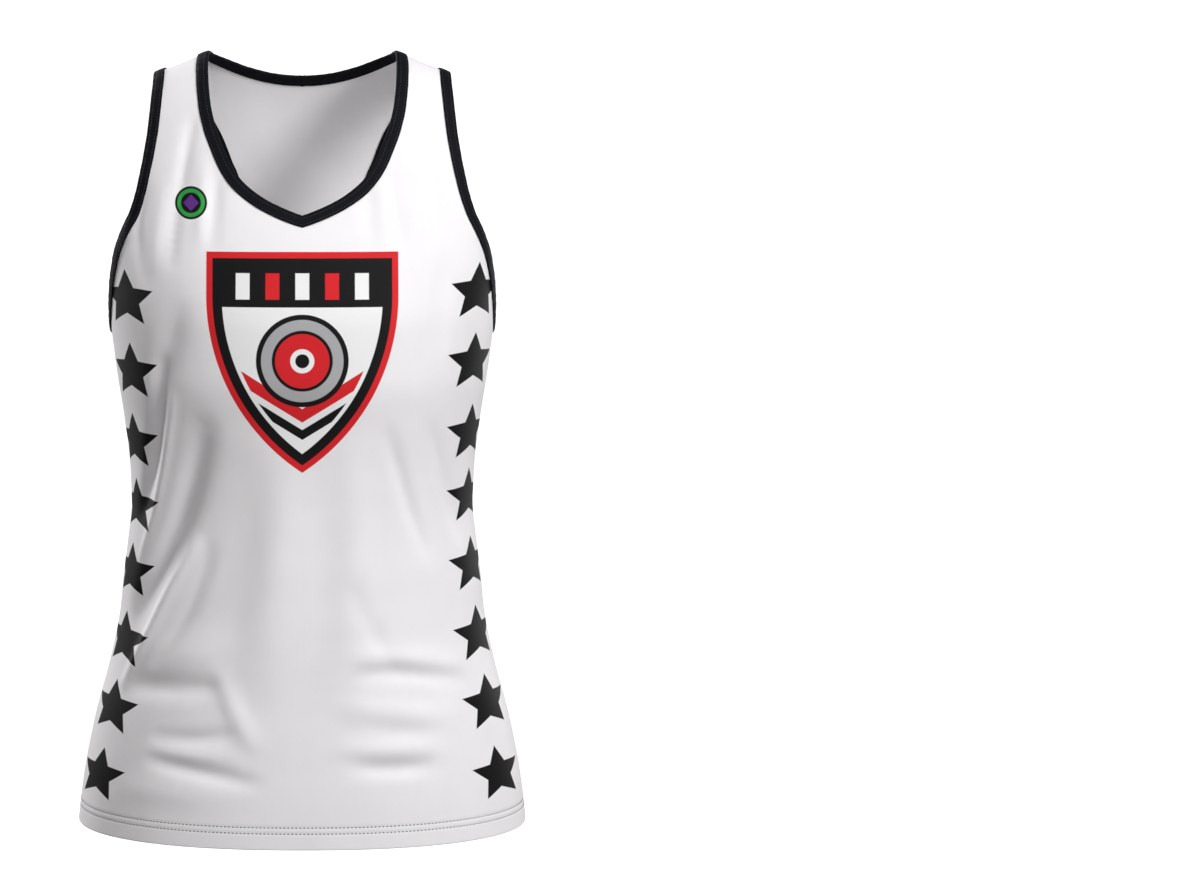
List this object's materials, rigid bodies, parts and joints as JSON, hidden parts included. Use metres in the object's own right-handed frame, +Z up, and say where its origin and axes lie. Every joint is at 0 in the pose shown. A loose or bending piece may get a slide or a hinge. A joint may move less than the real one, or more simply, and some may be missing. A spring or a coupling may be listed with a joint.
{
  "type": "roller derby jersey",
  "caption": "Sleeveless racerback jersey in white knit, filled out hollow, with a V scoop neck, black bound neck and armholes and a flared hem.",
  "frame": {"origin": "midway between the two strap tops, at shoulder height, where the wearer's shoulders hold the jersey up", "axes": "+Z up, the front of the jersey faces -Y, +X is the wearer's left"},
  "size_m": [0.377, 0.2462, 0.6406],
  "materials": {
    "white_knit": "white polyester interlock knit with a soft sheen",
    "black_knit": "black knit binding, folded over the raw edge"
  },
  "bodies": {
    "root": {"front_panel": "white_knit", "back_panel": "white_knit", "neck_binding": "black_knit", "armhole_binding_left": "black_knit", "armhole_binding_right": "black_knit"}
  },
  "joints": []
}
